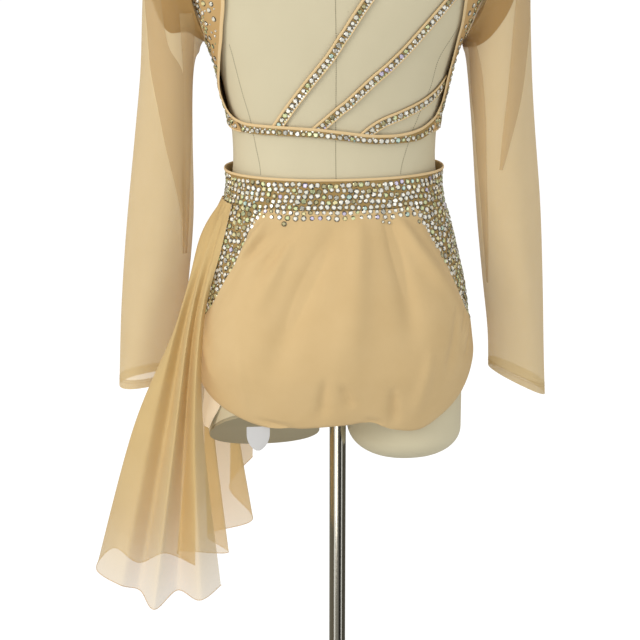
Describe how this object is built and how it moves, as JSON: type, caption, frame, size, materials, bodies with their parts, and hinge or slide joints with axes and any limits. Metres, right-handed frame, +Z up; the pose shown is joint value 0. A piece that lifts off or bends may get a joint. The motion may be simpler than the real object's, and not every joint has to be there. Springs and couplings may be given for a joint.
{
  "type": "lyrical dance costume on dress form",
  "caption": "Long-sleeved sheer dance costume with open strappy back, bubble brief and side drape, worn by a limbless dress form on a pole stand.",
  "frame": {"origin": "centre of the underside of the round base, on the floor", "axes": "+Z up along the pole, the costume's back faces -Y, the wearer's right is +X"},
  "size_m": [0.5536, 0.35, 1.474],
  "materials": {
    "canvas": "cream cotton canvas with a plain weave and fine stitched seams",
    "cap_board": "grey cloth-covered board, matt",
    "enamel": "black stoved enamel on steel",
    "chrome_pole": "polished chrome tube",
    "power_mesh": "beige stretch mesh set with rhinestones near the armholes",
    "stoned_band": "beige stretch band covered with clear rhinestones, bound edge",
    "sheer_mesh": "sheer beige stretch mesh, soft satin look where layers meet",
    "brief_jersey": "beige jersey, rhinestones on the hips",
    "crepe": "beige matt crepe with soft folds",
    "lining": "cream lining jersey",
    "label_satin": "plain white satin, blank",
    "rhinestone": "foil-backed cut glass stones, clear with a few green, yellow and lilac ones",
    "binding": "light beige stretch binding, folded and topstitched",
    "thread": "stitching thread"
  },
  "bodies": {
    "root": {"dress_form": "canvas", "thigh_cap": "cap_board", "neck_cap": "enamel", "pole_collar": "enamel", "stand_base": "enamel", "stand_pole": "chrome_pole", "bodice_front": "power_mesh", "side_panel_left": "power_mesh", "side_panel_right": "power_mesh", "back_band": "stoned_band", "strap_upper": "stoned_band", "strap_middle": "stoned_band", "strap_lower": "stoned_band", "sleeve_left": "sheer_mesh", "sleeve_right": "sheer_mesh", "waistband_back": "stoned_band", "waistband_front": "stoned_band", "brief_back": "brief_jersey", "brief_front": "brief_jersey", "gusset_back": "brief_jersey", "gusset_front": "brief_jersey", "seat_overlay": "crepe", "hip_drape": "sheer_mesh", "leg_lining": "lining", "care_label": "label_satin"}
  },
  "joints": []
}
